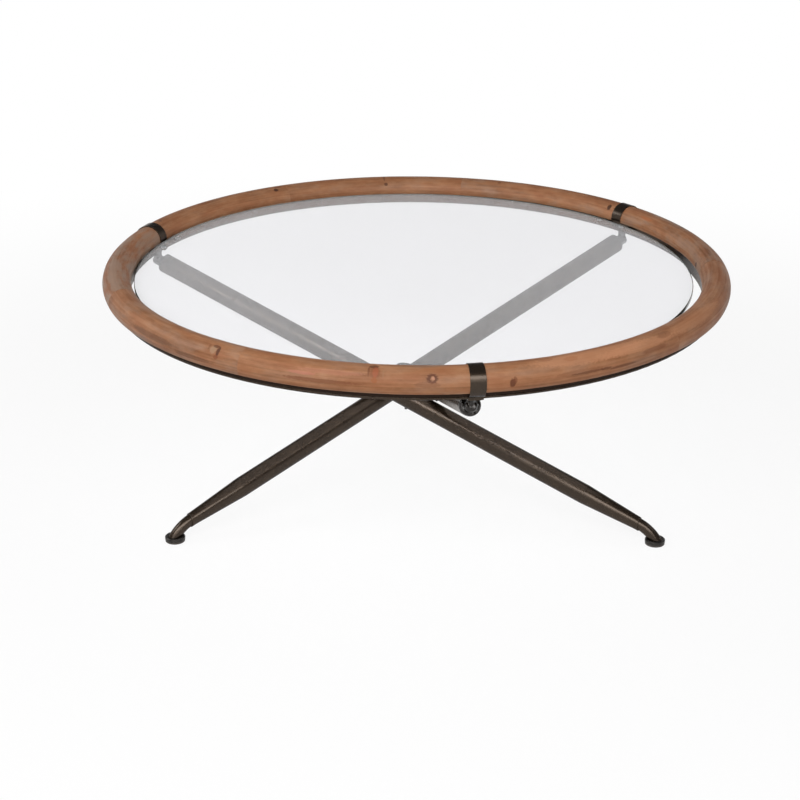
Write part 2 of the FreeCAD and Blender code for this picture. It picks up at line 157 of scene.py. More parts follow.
class Wiring:
    """Adds nodes to one tree and joins them."""

    def __init__(self, tree):
        self.tree = tree

    def put(self, socket, value):
        if isinstance(value, bpy.types.NodeSocket):
            self.tree.links.new(value, socket)
        else:
            socket.default_value = value

    def node(self, kind, inputs=None, **settings):
        made = self.tree.nodes.new(kind)
        for key, value in settings.items():
            setattr(made, key, value)
        for key, value in (inputs or {}).items():
            self.put(made.inputs[key], value)
        return made

    def calc(self, operation, *values):
        made = self.tree.nodes.new("ShaderNodeMath")
        made.operation = operation
        for socket, value in zip(made.inputs, values):
            self.put(socket, value)
        return made.outputs[0]

    def vector(self, operation, *values):
        made = self.tree.nodes.new("ShaderNodeVectorMath")
        made.operation = operation
        for socket, value in zip(made.inputs, values):
            self.put(socket, value)
        return made.outputs["Value" if operation in ("LENGTH", "DOT_PRODUCT", "DISTANCE") else "Vector"]

    def span(self, value, from_low, from_high, to_low=0.0, to_high=1.0, smooth=False):
        kind = "SMOOTHSTEP" if smooth else "LINEAR"
        made = self.node("ShaderNodeMapRange", interpolation_type=kind)
        for socket, part in zip(made.inputs, (value, from_low, from_high, to_low, to_high)):
            self.put(socket, part)
        return made.outputs["Result"]

    def mix(self, factor, first, second, blend="MIX"):
        made = self.node("ShaderNodeMix", data_type="RGBA", blend_type=blend)
        for place, value in ((0, factor), (6, first), (7, second)):
            self.put(made.inputs[place], value)
        return made.outputs[2]

    def blend(self, factor, first, second):
        made = self.node("ShaderNodeMixShader", {0: factor, 1: first, 2: second})
        return made.outputs["Shader"]

    def noise(self, place, scale, detail=2.0, roughness=0.5):
        stretched = self.vector("MULTIPLY", place, scale)
        made = self.node("ShaderNodeTexNoise", {"Vector": stretched, "Scale": 1.0, "Detail": detail,
                                                "Roughness": roughness})
        return made.outputs["Fac"]

    def join(self, x, y, z):
        return self.node("ShaderNodeCombineXYZ", {"X": x, "Y": y, "Z": z}).outputs["Vector"]

    def split(self, vector):
        return self.node("ShaderNodeSeparateXYZ", {"Vector": vector}).outputs


def new_material(name):
    """An empty node material with its shader and a wiring for it."""
    material = bpy.data.materials.new(name)
    material.use_nodes = True
    material.node_tree.nodes.clear()
    wiring = Wiring(material.node_tree)
    shader = wiring.node("ShaderNodeBsdfPrincipled")
    wiring.node("ShaderNodeOutputMaterial", {"Surface": shader.outputs["BSDF"]})
    return material, wiring, shader


def cover(w, surface):
    """Show a blend of shaders in place of the plain one."""
    output = next(node for node in w.tree.nodes if node.type == "OUTPUT_MATERIAL")
    w.put(output.inputs["Surface"], surface)


def looks(w):
    """Which rays look straight or through glass, and which look at all, also in a mirror."""
    path = w.node("ShaderNodeLightPath").outputs
    straight = w.calc("MAXIMUM", path["Is Camera Ray"], path["Is Transmission Ray"])
    return straight, w.calc("MAXIMUM", straight, path["Is Glossy Ray"])


def once(name, make):
    """The material of that name, made the first time that it is asked for."""
    return bpy.data.materials.get(name) or make(name)


# Marks in the wood and painted highlights, laid in this order. Each has its azimuth and its place round
# the bar in degrees, half its length along the bar and half its width round it in millimetres, its colour
# and strength, and the share of its middle that stays pale.
wood_marks_and_painted_highlights = (
    # Painted highlight: the first three are broad pale patches on the upper front of the bar, where the
    # lamps light it most.
    (-60.0, 62, 105.0, 13.0, (186, 131, 96), 0.50, 0.0),
    (-50.0, 48, 80.0, 9.0, (190, 134, 98), 0.42, 0.0),
    (-33.0, 55, 90.0, 11.0, (182, 128, 92), 0.40, 0.0),
    (-97.0, 54, 7.6, 12.0, (124, 74, 48), 0.60, 0.0),
    (-97.2, 77, 7.0, 4.4, (80, 47, 28), 0.75, 0.0),
    (-98.0, 56, 1.7, 9.0, (96, 54, 32), 0.60, 0.0),
    (-96.9, 52, 4.2, 9.5, (156, 84, 56), 0.55, 0.0),
    # Painted highlight: the pale stripe beside the red mark.
    (-95.6, 46, 1.6, 8.0, (148, 112, 82), 0.35, 0.0),
    (-97.0, 22, 4.5, 5.0, (146, 82, 44), 0.60, 0.0),
    (-91.0, 88, 40.0, 3.0, (120, 88, 62), 0.45, 0.0),
    (-87.8, 32, 8.4, 7.8, (86, 46, 28), 0.88, 0.42),
    (-87.7, 33, 2.6, 2.4, (184, 132, 106), 0.60, 0.0),
    (-88.6, 10, 19.0, 5.2, (108, 66, 45), 0.42, 0.0),
    (-74.9, 2, 4.6, 6.8, (88, 46, 26), 0.88, 0.0),
    (-74.5, 12, 3.4, 5.0, (104, 58, 34), 0.65, 0.0),
    (-64.1, 64, 12.0, 5.0, (146, 88, 54), 0.35, 0.0),
    (-68.5, 78, 12.0, 4.0, (126, 76, 48), 0.40, 0.0),
    (-63.0, 6, 44.0, 5.0, (122, 74, 48), 0.40, 0.0),
    (-61.5, 2, 28.0, 2.0, (92, 54, 34), 0.60, 0.0),
    (-54.5, -5, 28.0, 2.2, (88, 50, 32), 0.62, 0.0),
    (-58.0, 1, 10.0, 2.2, (84, 48, 30), 0.60, 0.0),
    (-47.0, 20, 30.0, 3.6, (112, 64, 40), 0.55, 0.0),
    (-43.5, 58, 16.0, 6.0, (112, 70, 46), 0.45, 0.0),
    (-125.9, 45, 6.0, 7.0, (158, 128, 100), 0.60, 0.0),
    (-124.8, 42, 3.0, 8.0, (78, 42, 26), 0.88, 0.0),
    (-125.5, 60, 6.6, 2.8, (88, 50, 32), 0.75, 0.0),
    (-126.9, 52, 2.0, 5.0, (112, 70, 46), 0.50, 0.0),
    (-125.0, 20, 4.6, 3.6, (116, 62, 38), 0.65, 0.0),
    (-130.0, -6, 40.0, 4.0, (94, 58, 38), 0.55, 0.0),
    (-141.0, 10, 60.0, 5.0, (90, 60, 44), 0.50, 0.0),
    (-106.0, 4, 60.0, 3.4, (110, 62, 38), 0.60, 0.0),
    (-104.0, 40, 50.0, 4.0, (176, 118, 92), 0.40, 0.0),
    (-109.0, 26, 22.0, 2.6, (182, 110, 94), 0.40, 0.0),
    (21.3, 75, 4.0, 3.6, (76, 46, 32), 0.75, 0.0),
    (42.5, 134, 4.6, 6.4, (62, 38, 24), 0.90, 0.0),
    (39.5, 134, 16.0, 3.0, (128, 74, 44), 0.60, 0.0),
    (31.0, 128, 18.0, 3.4, (168, 100, 62), 0.60, 0.0),
    (71.0, 108, 3.8, 3.0, (100, 62, 42), 0.60, 0.0),
    (96.9, 100, 2.0, 11.0, (88, 52, 34), 0.60, 0.0),
    (96.6, 142, 4.0, 3.6, (70, 40, 26), 0.80, 0.0),
    (122.4, 118, 5.0, 4.2, (64, 36, 24), 0.90, 0.0),
    (121.6, 100, 9.0, 3.0, (104, 60, 40), 0.55, 0.0),
    (156.0, 95, 3.6, 3.2, (92, 58, 40), 0.60, 0.0),
    (-20.0, -12, 5.0, 6.0, (70, 42, 28), 0.85, 0.45),
    (4.0, 172, 6.0, 5.0, (70, 42, 28), 0.85, 0.0),
    (60.0, 22, 7.0, 6.0, (70, 43, 29), 0.85, 0.45),
    (104.0, 15, 5.0, 4.4, (76, 45, 30), 0.80, 0.0),
    (138.0, 40, 6.0, 7.0, (68, 40, 28), 0.80, 0.40),
    (178.0, 8, 5.0, 5.6, (74, 43, 29), 0.80, 0.0),
    (-142.0, 165, 6.0, 5.0, (72, 43, 29), 0.80, 0.0),
    (-70.0, 176, 5.0, 4.2, (70, 42, 28), 0.80, 0.0),
)
far_off = 9.0  # in sizes of a mark, where no mark is near
# Each board's warmth. The lowest value, on the seventh board at the left, greys it partly as painted
# sheen as well as by its own tone.
segment_warmth = (0.74, 0.68, 0.38, 0.52, 0.72, 0.70, 0.06, 0.55, 0.74)


def mark_group():
    """Shader group that lays one soft, ragged mark over a colour, a mark in the wood or a painted
    highlight, and tells how near it is.
    """
    tree = bpy.data.node_groups.new("Wood mark and painted highlight", "ShaderNodeTree")
    for label, kind in (("Grain", "Vector"), ("Colour", "Color"), ("Reach", "Float"),
                        ("Place", "Vector"), ("Size", "Vector"), ("Mark", "Color"),
                        ("Strength", "Float"), ("Pale", "Float"), ("Ragged", "Float")):
        tree.interface.new_socket(label, in_out="INPUT", socket_type="NodeSocket" + kind)
    tree.interface.new_socket("Colour", in_out="OUTPUT", socket_type="NodeSocketColor")
    tree.interface.new_socket("Reach", in_out="OUTPUT", socket_type="NodeSocketFloat")
    w = Wiring(tree)
    given = w.node("NodeGroupInput").outputs
    apart = w.vector("DIVIDE", w.vector("SUBTRACT", given["Grain"], given["Place"]), given["Size"])
    reach = w.vector("LENGTH", apart)
    ragged = w.calc("ADD", reach, given["Ragged"])
    inside = w.span(ragged, 1.18, 0.78, smooth=True)
    soft = 0.09
    pale = w.span(ragged, w.calc("ADD", given["Pale"], soft), w.calc("SUBTRACT", given["Pale"], soft),
                  smooth=True)
    left = w.calc("SUBTRACT", 1, w.calc("MULTIPLY", pale, w.calc("GREATER_THAN", given["Pale"], 0.01)))
    amount = w.calc("MULTIPLY", w.calc("MULTIPLY", inside, left), given["Strength"])
    nearer = w.calc("MINIMUM", given["Reach"], reach)
    w.node("NodeGroupOutput", {"Colour": w.mix(amount, given["Colour"], given["Mark"]), "Reach": nearer})
    return tree


def softwood(name):
    """Waxed, knotty softwood. Its grain runs along the bar, and its marks lie where they were seen. It
    has painted shade next to the metal, painted highlight on the front right, and partly painted sheen on
    the greyest board.
    """
    settings = bpy.context.scene.table_ring
    material, w, shader = new_material(name)
    grain = w.node("ShaderNodeAttribute", attribute_name="grain_place").outputs["Vector"]
    segment = w.node("ShaderNodeAttribute", attribute_name="segment_number").outputs["Fac"]
    warmth = w.node("ShaderNodeAttribute", attribute_name="warmth").outputs["Fac"]

    own = w.vector("ADD", grain, w.vector("MULTIPLY", w.join(segment, segment, segment),
                                          (0.713, 0.037, -0.029)))
    sway = w.span(w.noise(own, (2.2, 16, 16), 2), 0.25, 0.75, -0.0035, 0.0035)
    places = w.split(grain)
    lean = w.calc("SINE", w.calc("MULTIPLY", segment, 2.4))
    across = w.calc("ADD", places["Y"], w.calc("MULTIPLY", lean, 0.05))
    below = w.calc("ADD", places["Z"], 0.07)
    ring_way = w.calc("SQRT", w.calc("ADD", w.calc("POWER", across, 2), w.calc("POWER", below, 2)))
    year = w.calc("FRACT", w.calc("DIVIDE", w.calc("ADD", ring_way, sway), settings.year))
    late = w.calc("MULTIPLY", w.span(year, 0.3, 0.9, smooth=True), w.span(year, 0.92, 1.0, 1.0, 0.0))

    fibre = w.noise(own, (14, 1400, 1400), 3, 0.6)
    streak = w.noise(own, (3.2, 230, 230), 3, 0.6)
    band = w.noise(own, (2.6, 74, 74), 3, 0.55)
    cloud = w.noise(own, (13, 46, 46), 4, 0.6)
    stain = w.noise(own, (40, 96, 96), 4, 0.65)
    patch = w.noise(own, (9, 26, 26), 3, 0.6)

    darkness = w.calc("ADD", w.calc("MULTIPLY", late, 0.15), w.span(streak, 0.3, 0.7, -0.08, 0.26))
    darkness = w.calc("ADD", darkness, w.span(fibre, 0.3, 0.7, -0.10, 0.16))
    darkness = w.calc("ADD", darkness, w.span(band, 0.3, 0.7, -0.12, 0.22))
    darkness = w.calc("ADD", darkness, w.span(stain, 0.3, 0.7, -0.16, 0.34))
    darkness = w.calc("ADD", darkness, w.span(patch, 0.3, 0.7, -0.14, 0.26))
    body = w.mix(w.span(darkness, 0.0, 0.9), settings.light, settings.dark)
    red = w.mix(w.span(cloud, 0.46, 0.68, 0.0, 0.50), body, tone(138, 82, 52))
    warm = w.mix(w.span(warmth, 0.3, 1.0, 0.0, 0.30), red, tone(152, 98, 60))
    # Greying in the clouds: wear and wax, and on the coldest board, at the left, partly painted sheen.
    cold = w.span(warmth, 0.0, 0.7, 0.80, 0.20)
    reached = w.calc("SUBTRACT", cloud, w.span(warmth, 0.0, 0.5, 0.13, 0.0))
    greyed = w.calc("MULTIPLY", w.span(reached, 0.52, 0.32, smooth=True), cold)
    colour_now = w.mix(greyed, warm, settings.grey)

    group = mark_group()
    ragged = w.span(w.noise(grain, (260, 420, 420), 3, 0.6), 0.3, 0.7, -0.18, 0.18)
    reach = far_off
    for azimuth, around, half_length, half_width, mark, strength, pale in wood_marks_and_painted_highlights:
        run = (math.radians(azimuth) - strap_azimuth) % math.tau * settings.radius
        turn = math.radians(around)
        place = (run, settings.bar_radius * math.cos(turn), settings.bar_radius * math.sin(turn))
        size = (half_length * millimetre, half_width * millimetre, half_width * millimetre)
        laid = w.node("ShaderNodeGroup", node_tree=group)
        given = {"Grain": grain, "Colour": colour_now, "Reach": reach, "Place": place, "Size": size,
                 "Mark": tone(*mark), "Strength": strength, "Pale": pale, "Ragged": ragged}
        for label, value in given.items():
            w.put(laid.inputs[label], value)
        colour_now, reach = laid.outputs["Colour"], laid.outputs["Reach"]

    # Painted shade: under the outer ledge and in the inner rebate, where the wood meets the metal, the
    # colour is mixed towards the painted shade colour and made rougher.
    limit = w.calc("MULTIPLY_ADD", w.calc("GREATER_THAN", places["Y"], 0.0),
                   settings.rebate_drop - settings.ledge_drop, -settings.rebate_drop)
    painted_shade_mask = w.span(w.calc("SUBTRACT", places["Z"], limit), -0.0001, -0.0009, smooth=True)
    w.put(shader.inputs["Base Color"], w.mix(painted_shade_mask, colour_now, settings.rebate_painted_shade))

    rough = w.calc("ADD", w.span(streak, 0.3, 0.7, 0.46, 0.58), w.span(cloud, 0.3, 0.7, -0.05, 0.08))
    w.put(shader.inputs["Roughness"], w.calc("MULTIPLY_ADD", painted_shade_mask, 0.3, rough))
    shader.inputs["Specular IOR Level"].default_value = 0.28
    height = w.calc("ADD", w.calc("MULTIPLY", late, 0.4), w.calc("MULTIPLY", fibre, 0.9))
    height = w.calc("ADD", height, w.calc("MULTIPLY", stain, 1.1))
    height = w.calc("ADD", height, w.span(reach, 0.75, 1.1, 0.7, 0.0, smooth=True))
    bump = w.node("ShaderNodeBump", {"Strength": 0.6, "Distance": 0.0003, "Height": height})
    w.put(shader.inputs["Normal"], bump.outputs["Normal"])
    return material


def worn_edges(w, place, low, high):
    """How much the finish is rubbed away, and the normal that rounds small edges."""
    radius = bpy.context.scene.table_metal.edge
    mottle = w.noise(place, (38, 38, 38), 4, 0.6)
    edge = w.node("ShaderNodeBevel", {"Radius": radius}, samples=6).outputs["Normal"]
    face = w.node("ShaderNodeNewGeometry").outputs["Normal"]
    worn = w.span(w.vector("DOT_PRODUCT", edge, face), 0.995, 0.90)
    worn = w.calc("MULTIPLY", worn, w.span(mottle, 0.35, 0.65, 0.3, 0.9))
    return w.calc("ADD", worn, w.span(mottle, 0.42, 0.75, low, high)), mottle, edge


def bronze(name):
    """Dark lacquered bronze: softly mottled, brushed, and rubbed thin along the edges."""
    settings = bpy.context.scene.table_metal
    material, w, shader = new_material(name)
    place = w.node("ShaderNodeTexCoord").outputs["Object"]
    speck = w.noise(place, (900, 900, 900), 2, 0.6)
    rubbed, mottle, edge = worn_edges(w, place, 0.0, 0.12)
    w.put(shader.inputs["Base Color"], w.mix(rubbed, settings.bronze, settings.bronze_worn))
    shader.inputs["Metallic"].default_value = 0.8
    shader.inputs["Specular Tint"].default_value = settings.tint
    rough = w.calc("ADD", w.span(mottle, 0.3, 0.7, -0.01, 0.03), w.span(speck, 0.3, 0.7, -0.02, 0.02))
    w.put(shader.inputs["Roughness"], w.calc("ADD", rough, settings.roughness))
    shader.inputs["Coat Weight"].default_value = 0.35
    shader.inputs["Coat Roughness"].default_value = 0.18
    bump = w.node("ShaderNodeBump", {"Strength": 0.06, "Distance": 0.0001, "Height": speck,
                                     "Normal": edge})
    w.put(shader.inputs["Normal"], bump.outputs["Normal"])
    return material


def cast_bronze(name):
    """Caps and hangers at the tubes' upper ends: a darker, glossier finish over lumpy metal."""
    settings = bpy.context.scene.table_metal
    material, w, shader = new_material(name)
    place = w.node("ShaderNodeTexCoord").outputs["Object"]
    rubbed, mottle, edge = worn_edges(w, place, 0.0, 0.04)
    w.put(shader.inputs["Base Color"], w.mix(rubbed, settings.cast, settings.bronze_worn))
    shader.inputs["Metallic"].default_value = 0.3
    shader.inputs["Specular Tint"].default_value = settings.tint
    shader.inputs["Specular IOR Level"].default_value = 0.35
    w.put(shader.inputs["Roughness"], w.span(mottle, 0.3, 0.7, 0.22, 0.34))
    shader.inputs["Coat Weight"].default_value = 0.7
    shader.inputs["Coat Roughness"].default_value = 0.14
    lumps = w.node("ShaderNodeTexVoronoi", {"Vector": place, "Scale": 125.0}, feature="SMOOTH_F1")
    bump = w.node("ShaderNodeBump", {"Strength": 1.0, "Distance": 0.006, "Normal": edge,
                                     "Height": lumps.outputs["Distance"]})
    w.put(shader.inputs["Coat Normal"], bump.outputs["Normal"])
    w.put(shader.inputs["Normal"], bump.outputs["Normal"])
    return material


def blackened_steel(name):
    """Blackened steel of the screws, studs and feet, a little mottled."""
    settings = bpy.context.scene.table_metal
    material, w, shader = new_material(name)
    place = w.node("ShaderNodeTexCoord").outputs["Object"]
    mottle = w.noise(place, (160, 160, 160), 3, 0.6)
    blackened = w.mix(w.span(mottle, 0.35, 0.7), settings.steel, settings.steel_dark)
    w.put(shader.inputs["Base Color"], blackened)
    shader.inputs["Metallic"].default_value = 0.8
    w.put(shader.inputs["Roughness"], w.span(mottle, 0.3, 0.7, 0.26, 0.40))
    edge = w.node("ShaderNodeBevel", {"Radius": settings.edge / 2}, samples=6).outputs["Normal"]
    w.put(shader.inputs["Normal"], edge)
    return material


def clear_glass(name):
    """Clear glass that bends what is seen through it, pale at low angles and dark at its edge."""
    settings = bpy.context.scene.table_glass
    material, w, shader = new_material(name)
    normal = w.node("ShaderNodeNewGeometry").outputs["True Normal"]
    edge = w.span(w.calc("ABSOLUTE", w.split(normal)["Z"]), 0.98, 0.85, smooth=True)
    w.put(shader.inputs["Base Color"], w.mix(edge, settings.veil, settings.edge))
    shader.inputs["Roughness"].default_value = 0.08
    shader.inputs["IOR"].default_value = glass_index
    mirror = w.node("ShaderNodeBsdfGlossy", {"Color": white, "Roughness": 0.0})
    face = w.calc("SUBTRACT", 1, edge)
    veiled = w.blend(w.calc("MULTIPLY", face, settings.mirror), shader.outputs["BSDF"],
                     mirror.outputs["BSDF"])
    bent = w.node("ShaderNodeBsdfRefraction", {"Color": settings.clear, "Roughness": 0.0,
                                               "IOR": glass_index})
    fresnel = w.node("ShaderNodeFresnel", {"IOR": glass_index}).outputs["Fac"]
    sheen = w.calc("MULTIPLY", w.calc("POWER", fresnel, 1.5), settings.sheen)
    pane = w.blend(w.calc("MAXIMUM", sheen, edge), bent.outputs["BSDF"], veiled)
    lit = w.node("ShaderNodeBsdfTransparent", {"Color": settings.clear})
    shadow = w.calc("MULTIPLY", w.node("ShaderNodeLightPath").outputs["Is Shadow Ray"], 0.9)
    cover(w, w.blend(shadow, pane, lit.outputs["BSDF"]))
    return material


def clear_pad(name):
    """Soft clear plastic of the pads under the glass."""
    material, w, shader = new_material(name)
    place = w.node("ShaderNodeTexCoord").outputs["Object"]
    haze = w.noise(place, (400, 400, 400), 2)
    w.put(shader.inputs["Roughness"], w.span(haze, 0.3, 0.7, 0.25, 0.4))
    shader.inputs["Base Color"].default_value = tone(225, 228, 228)
    shader.inputs["Transmission Weight"].default_value = 0.7
    return material


def glide_plastic(name):
    """Dark, fine-grained plastic of the glides under the feet."""
    material, w, shader = new_material(name)
    place = w.node("ShaderNodeTexCoord").outputs["Object"]
    grit = w.noise(place, (1400, 1400, 1400), 2)
    w.put(shader.inputs["Base Color"], w.mix(w.span(grit, 0.3, 0.7), tone(58, 52, 48), tone(70, 64, 59)))
    w.put(shader.inputs["Roughness"], w.span(grit, 0.3, 0.7, 0.55, 0.7))
    bump = w.node("ShaderNodeBump", {"Strength": 0.3, "Distance": 0.0001, "Height": grit})
    w.put(shader.inputs["Normal"], bump.outputs["Normal"])
    return material


# Pieces

def dress(names, material):
    """Give solids of the frame a material. Their shape is right as it is."""
    for name in names:
        nodes[name].data.materials.clear()
        nodes[name].data.materials.append(material)


def numbered(name, count=leg_count):
    return ["%s_%d" % (name, number + 1) for number in range(count)]


def new_piece(name, mesh):
    piece = bpy.data.objects.new(name, mesh)
    bpy.context.scene.collection.objects.link(piece)
    return piece


def new_tree(name, sockets):
    """A geometry tree with named inputs, and their identifiers."""
    tree = bpy.data.node_groups.new(name, "GeometryNodeTree")
    tree.is_modifier = True
    tree.interface.new_socket("Geometry", in_out="INPUT", socket_type="NodeSocketGeometry")
    marks = {}
    for label, kind in sockets:
        socket = tree.interface.new_socket(label, in_out="INPUT", socket_type="NodeSocket" + kind)
        marks[label] = socket.identifier
    tree.interface.new_socket("Geometry", in_out="OUTPUT", socket_type="NodeSocketGeometry")
    return tree, marks


def grow(piece, tree, marks, values, sharp=35.0):
    """Run a tree on a piece, and keep the result as its plain mesh."""
    modifier = piece.modifiers.new(tree.name, "NODES")
    modifier.node_group = tree
    for label, value in values.items():
        modifier[marks[label]] = value
    bpy.context.view_layer.update()
    graph = bpy.context.evaluated_depsgraph_get()
    mesh = bpy.data.meshes.new_from_object(piece.evaluated_get(graph), preserve_all_data_layers=True,
                                           depsgraph=graph)
    if not mesh.polygons:
        raise RuntimeError("the tree %s made no faces for %s" % (tree.name, piece.name))
    piece.modifiers.remove(modifier)
    piece.data = mesh
    mesh.name = piece.name
    mesh.set_sharp_from_angle(angle=math.radians(sharp))
    return piece


def eased(points, radius, steps=2):
    """A closed outline with each sharp corner eased, as sanding leaves it."""
    done = []
    count = len(points)
    for number, (x, y) in enumerate(points):
        here = Vector((x, y))
        before = Vector(points[number - 1]) - here
        after = Vector(points[(number + 1) % count]) - here
        sharp = before.length > 4 * radius or after.length > 4 * radius
        if not sharp or before.angle(after) > math.radians(155):
            done.append((x, y))
            continue
        first = here + before.normalized() * min(radius, before.length / 3)
        last = here + after.normalized() * min(radius, after.length / 3)
        for step in range(steps + 1):
            along = step / steps
            point = first.lerp(here, along).lerp(here.lerp(last, along), along)
            done.append((point.x, point.y))
    return done


def bar_outline(settings):
    """The bar's section, outwards and up from its middle, anticlockwise."""
    bar = settings.bar_radius

    def arc(start, stop, steps):
        angles = [start + (stop - start) * step / steps for step in range(steps + 1)]
        return [(bar * math.cos(angle), bar * math.sin(angle)) for angle in angles]

    points = arc(-math.asin(settings.ledge_drop / bar),
                 math.pi + math.asin(settings.rebate_drop / bar), 52)
    points.append((-settings.rebate_side, -settings.rebate_drop))
    points += arc(math.pi + math.acos(settings.rebate_side / bar),
                  math.pi + math.asin(settings.flat_drop / bar), 6)
    points.append((settings.ledge_side, -settings.flat_drop))
    points.append((settings.ledge_side, -settings.ledge_drop))
    return eased(points, settings.corner)


def bent_bar_tree():
    """Sweeps an outline round part of a circle, eases its two ends and marks how the grain runs."""
    tree, marks = new_tree("Bent bar", [
        ("Radius", "Float"), ("Height", "Float"), ("Start", "Float"), ("Span", "Float"),
        ("First joint", "Float"), ("Steps", "Int"), ("Joint rounding", "Float"),
        ("Joint width", "Float"), ("Waver", "Float"), ("Number", "Float"), ("Warmth", "Float"),
        ("Material", "Material")])
    w = Wiring(tree)
    given = w.node("NodeGroupInput").outputs
    outline = w.node("GeometryNodeMeshToCurve", {"Mesh": given["Geometry"]}).outputs["Curve"]
    count = w.calc("ADD", given["Steps"], 1)
    path = w.node("GeometryNodeCurveArc", {"Resolution": count}, mode="RADIUS").outputs["Curve"]
    along = w.calc("DIVIDE", w.node("GeometryNodeInputIndex").outputs["Index"], given["Steps"])
    along = w.calc("ADD", w.calc("MULTIPLY", w.span(along, 0, 1, smooth=True), 0.9),
                   w.calc("MULTIPLY", along, 0.1))
    angle = w.calc("MULTIPLY_ADD", along, given["Span"], given["Start"])
    point = w.join(w.calc("MULTIPLY", w.calc("COSINE", angle), given["Radius"]),
                   w.calc("MULTIPLY", w.calc("SINE", angle), given["Radius"]), given["Height"])
    path = w.node("GeometryNodeSetPosition", {"Geometry": path, "Position": point}).outputs["Geometry"]
    path = w.node("GeometryNodeSetCurveNormal", {"Curve": path}, mode="Z_UP").outputs["Curve"]
    bar = w.node("GeometryNodeCurveToMesh", {"Curve": path, "Profile Curve": outline, "Fill Caps": True}
                 ).outputs["Mesh"]

    spot = w.node("GeometryNodeInputPosition").outputs["Position"]
    half = w.calc("MULTIPLY", given["Span"], 0.5)
    middle = w.calc("ADD", given["Start"], half)
    faced = w.node("ShaderNodeVectorRotate", {"Vector": spot, "Angle": w.calc("MULTIPLY", middle, -1)},
                   rotation_type="Z_AXIS").outputs["Vector"]
    x, y, z = w.split(faced)
    swing = w.calc("ARCTAN2", y, x)
    out = w.calc("SUBTRACT", w.calc("SQRT", w.calc("ADD", w.calc("POWER", x, 2), w.calc("POWER", y, 2))),
                 given["Radius"])
    rise = w.calc("SUBTRACT", z, given["Height"])
    run = w.calc("MULTIPLY", w.calc("SUBTRACT", w.calc("ADD", swing, middle), given["First joint"]),
                 given["Radius"])
    from_end = w.calc("MULTIPLY", w.calc("SUBTRACT", half, w.calc("ABSOLUTE", swing)), given["Radius"])
    near = w.calc("MAXIMUM", w.calc("SUBTRACT", 1, w.calc("DIVIDE", from_end, given["Joint width"])), 0)
    ease = w.calc("MULTIPLY", w.calc("POWER", near, 2), given["Joint rounding"])
    sanding = w.noise(spot, (16, 16, 16), 1)
    push = w.calc("ADD", ease, w.calc("MULTIPLY", w.span(sanding, 0.25, 0.75), given["Waver"]))
    away = w.vector("NORMALIZE", w.join(out, rise, 0))
    away_out, away_up, _ = w.split(away)
    angle = w.calc("ADD", swing, middle)
    shift = w.vector("SCALE", w.join(w.calc("MULTIPLY", away_out, w.calc("COSINE", angle)),
                                     w.calc("MULTIPLY", away_out, w.calc("SINE", angle)), away_up))
    w.put(shift.node.inputs["Scale"], w.calc("MULTIPLY", push, -1))

    grain = w.node("GeometryNodeStoreNamedAttribute", data_type="FLOAT_VECTOR", domain="POINT",
                   inputs={"Geometry": bar, "Name": "grain_place", "Value": w.join(run, out, rise)})
    number = w.node("GeometryNodeStoreNamedAttribute", data_type="FLOAT", domain="POINT",
                    inputs={"Geometry": grain.outputs["Geometry"], "Name": "segment_number",
                            "Value": given["Number"]})
    warmth = w.node("GeometryNodeStoreNamedAttribute", data_type="FLOAT", domain="POINT",
                    inputs={"Geometry": number.outputs["Geometry"], "Name": "warmth",
                            "Value": given["Warmth"]})
    moved = w.node("GeometryNodeSetPosition", {"Geometry": warmth.outputs["Geometry"], "Offset": shift})
    smooth = w.node("GeometryNodeSetShadeSmooth", {"Geometry": moved.outputs["Geometry"]})
    real = w.node("GeometryNodeRealizeInstances", {"Geometry": smooth.outputs["Geometry"]})
    dressed = w.node("GeometryNodeSetMaterial", {"Geometry": real.outputs["Geometry"],
                                                 "Material": given["Material"]})
    w.node("NodeGroupOutput", {"Geometry": dressed.outputs["Geometry"]})
    return tree, marks


class TABLE_OT_wooden_ring(bpy.types.Operator):
    """Bend the nine segments of the wooden ring"""
    bl_idname = "table.wooden_ring"
    bl_label = "Wooden ring"

    def execute(self, context):
        settings = context.scene.table_ring
        material = once("waxed_softwood", softwood)
        tree, marks = bent_bar_tree()
        outline = bar_outline(settings)
        edges = [(number, (number + 1) % len(outline)) for number in range(len(outline))]
        for number in range(segment_count):
            mesh = bpy.data.meshes.new("outline")
            mesh.from_pydata([(x, -y, 0) for x, y in outline], edges, [])
            piece = new_piece("bent_segment_%d" % (number + 1), mesh)
            grow(piece, tree, marks, {
                "Radius": settings.radius, "Height": settings.height,
                "Start": strap_azimuth + number * segment_span, "Span": segment_span,
                "First joint": strap_azimuth, "Steps": settings.steps,
                "Joint rounding": settings.joint_round, "Joint width": settings.joint_width,
                "Waver": settings.waver, "Number": float(number + 1),
                "Warmth": segment_warmth[number], "Material": material})
            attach(piece, "table")
            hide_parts("wood_segment_%d" % (number + 1))
        dress(["ring_dowels"], material)
        return {"FINISHED"}


class TABLE_OT_hoop_and_straps(bpy.types.Operator):
    """Finish the hoop, its tabs and the three straps round the wood"""
    bl_idname = "table.hoop_and_straps"
    bl_label = "Hoop and straps"

    def execute(self, context):
        material = once("dark_bronze", bronze)
        dress(["hoop"] + numbered("strap") + numbered("glass_tab", tab_count), material)
        return {"FINISHED"}


class TABLE_OT_screws(bpy.types.Operator):
    """Finish the screws and bolts"""
    bl_idname = "table.screws"
    bl_label = "Screws"

    def execute(self, context):
        material = once("black_steel", blackened_steel)
        dress(["strap_screws", "ring_screws", "hanger_screws", "hub_bolts"], material)
        return {"FINISHED"}


class TABLE_OT_glass(bpy.types.Operator):
    """Finish the glass disc and its pads"""
    bl_idname = "table.glass"
    bl_label = "Glass"

    def execute(self, context):
        dress(["glass_disc"], once("flat_glass", clear_glass))
        dress(["glass_pads"], once("soft_clear_plastic", clear_pad))
        return {"FINISHED"}


